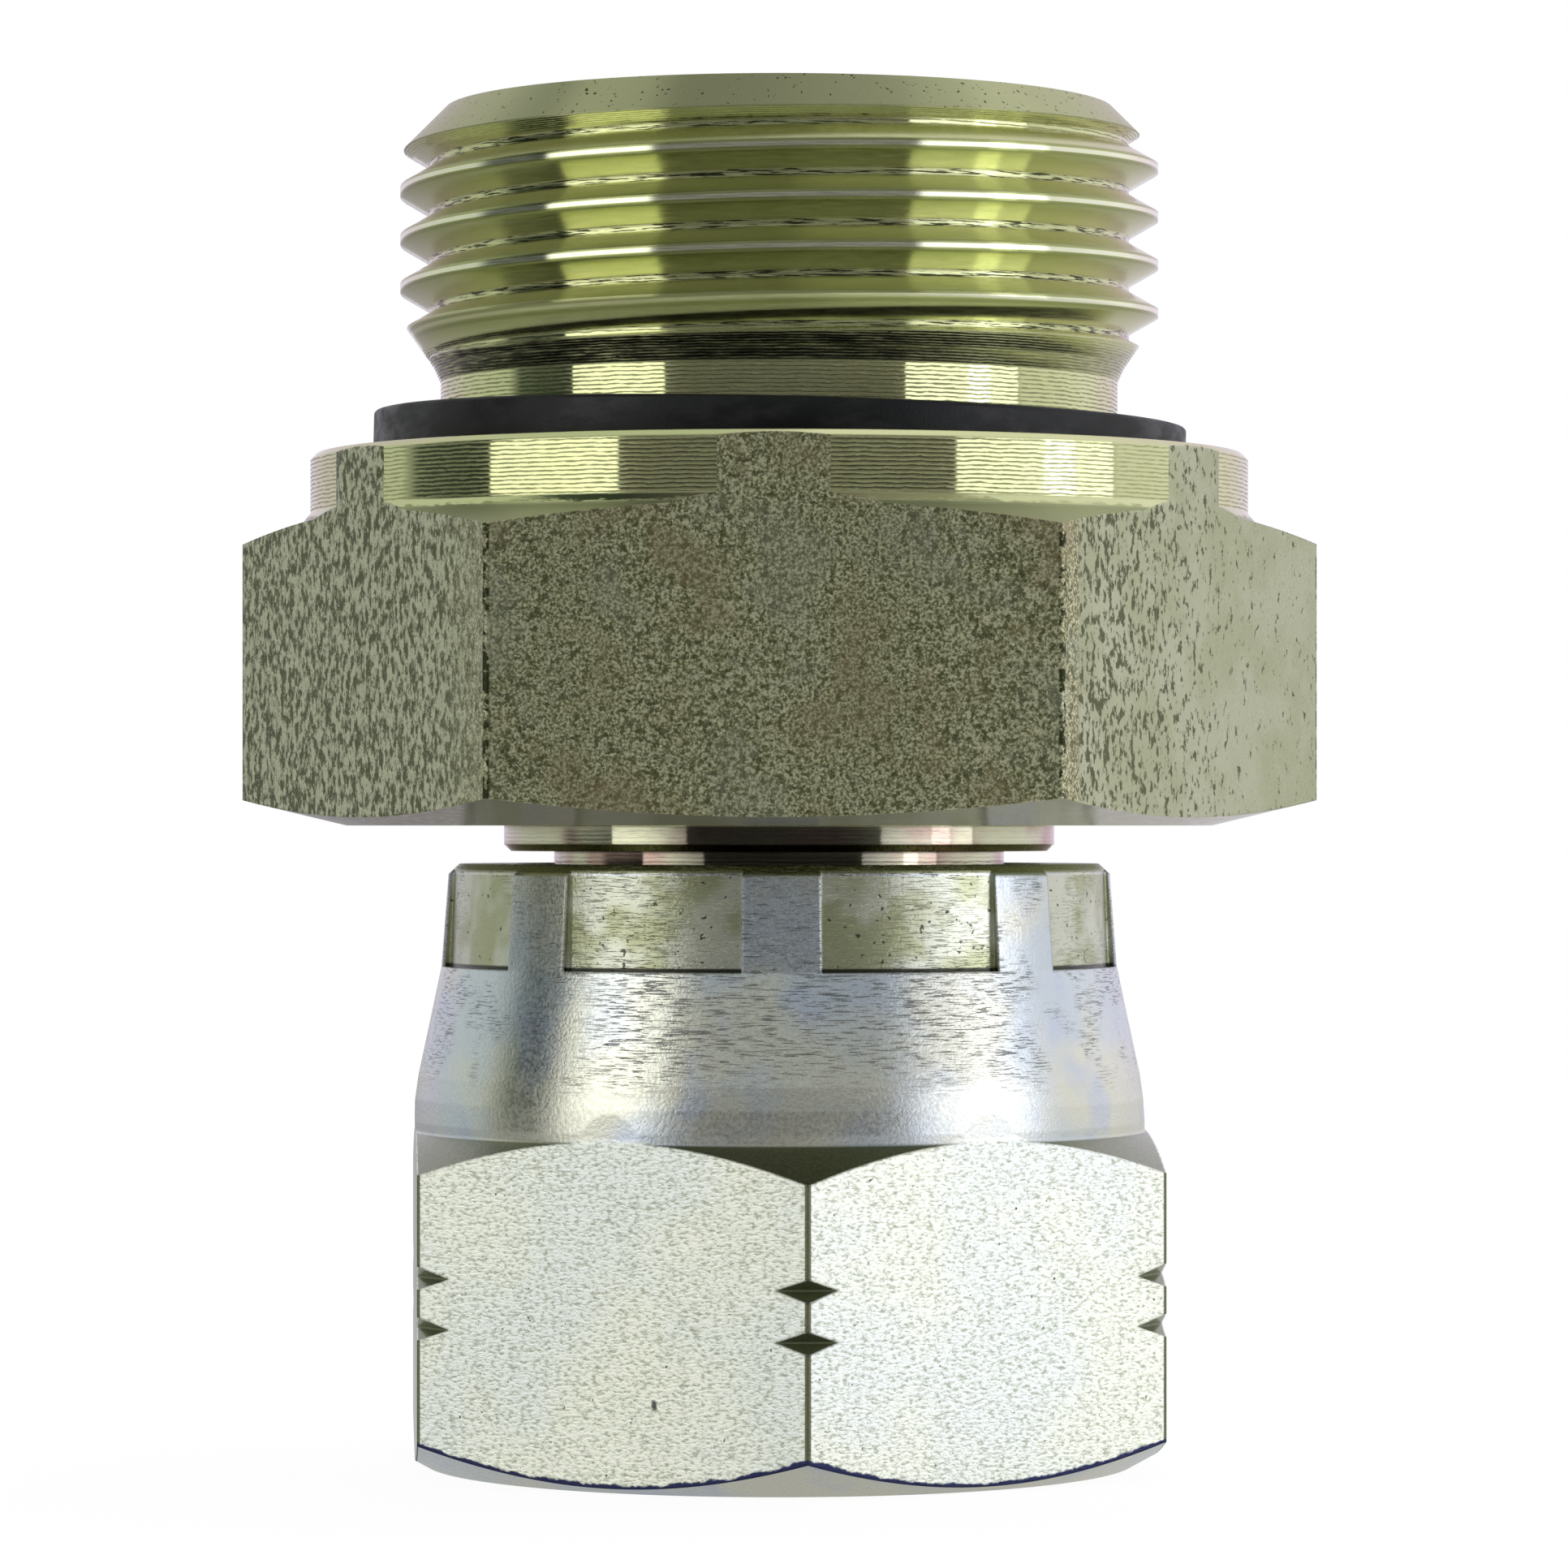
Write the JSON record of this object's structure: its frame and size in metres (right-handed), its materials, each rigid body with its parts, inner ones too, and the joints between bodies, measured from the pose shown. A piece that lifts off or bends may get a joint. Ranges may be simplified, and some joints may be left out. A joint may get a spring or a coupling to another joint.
{
  "type": "hydraulic adapter",
  "caption": "Straight hydraulic adapter: threaded port stud with a captive face seal, hexagon body, and a crimped swivel nut with a female thread over a coned nose.",
  "frame": {"origin": "on the adapter's axis, in the plane of the swivel nut's mouth face, which is the bottom of the whole part", "axes": "+Z along the axis from the nut's mouth to the end of the threaded stud; -Y is the front of the picture, with a flat of the body hexagon and a corner of the nut facing it; +X is to the right"},
  "size_m": [0.0472, 0.0412, 0.0594],
  "materials": {
    "body_plating": "turned steel, olive yellow zinc plating",
    "nut_plating": "turned steel, bright bluish zinc plating",
    "seal_rubber": "satin black rubber"
  },
  "bodies": {
    "adapter": {"adapter_body": "body_plating", "seal_ring": "seal_rubber"},
    "nut": {"swivel_nut": "nut_plating"}
  },
  "joints": [
    {"name": "nut_swivel", "type": "hinge", "parent": "adapter", "child": "nut", "pos_m": [0, 0, 0.013], "axis": [0, 0, 1], "continuous": true}
  ]
}
